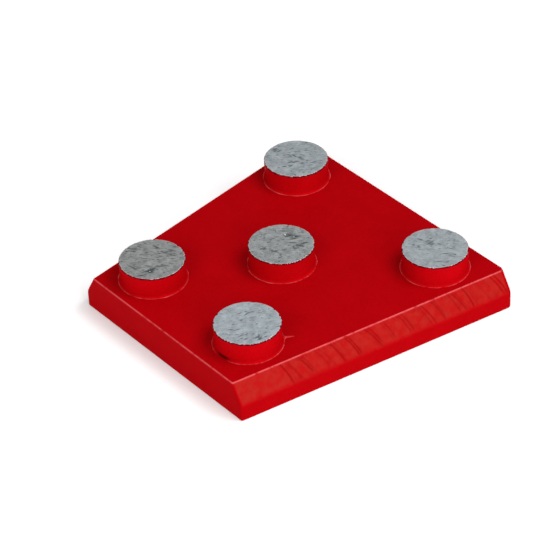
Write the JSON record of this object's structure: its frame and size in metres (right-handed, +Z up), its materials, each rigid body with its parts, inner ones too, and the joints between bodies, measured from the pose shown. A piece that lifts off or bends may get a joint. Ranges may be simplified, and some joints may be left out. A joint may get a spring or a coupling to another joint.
{
  "type": "diamond floor grinding shoe",
  "caption": "Red trapezoid steel grinding shoe with dovetail flanks for a quick-change holder, carrying round brazed diamond segments.",
  "frame": {"origin": "centre of the underside, in the middle of the plate's length and width", "axes": "+Z up from the underside towards the diamond segments; +Y from the narrow end to the wide end; +X across the plate to the flank that is at the right when the narrow end faces the viewer"},
  "size_m": [0.1004, 0.094, 0.019],
  "materials": {
    "red_lacquer": "glossy red lacquer on milled steel",
    "sintered_bond": "ground sintered metal bond, red lacquer on its side",
    "foot_metal": "diamond-free sintered metal under red lacquer",
    "braze_alloy": "silver braze under red lacquer",
    "diamond": "synthetic diamond crystals ground level"
  },
  "bodies": {
    "root": {"base_plate": "red_lacquer", "segment_center": "sintered_bond", "segment_narrow_left": "sintered_bond", "segment_narrow_right": "sintered_bond", "segment_wide_left": "sintered_bond", "segment_wide_right": "sintered_bond", "segment_foot_center": "foot_metal", "segment_foot_narrow_left": "foot_metal", "segment_foot_narrow_right": "foot_metal", "segment_foot_wide_left": "foot_metal", "segment_foot_wide_right": "foot_metal", "braze_joint_center": "braze_alloy", "braze_joint_narrow_left": "braze_alloy", "braze_joint_narrow_right": "braze_alloy", "braze_joint_wide_left": "braze_alloy", "braze_joint_wide_right": "braze_alloy", "diamond_grit_center": "diamond", "diamond_grit_narrow_left": "diamond", "diamond_grit_narrow_right": "diamond", "diamond_grit_wide_left": "diamond", "diamond_grit_wide_right": "diamond"}
  },
  "joints": []
}
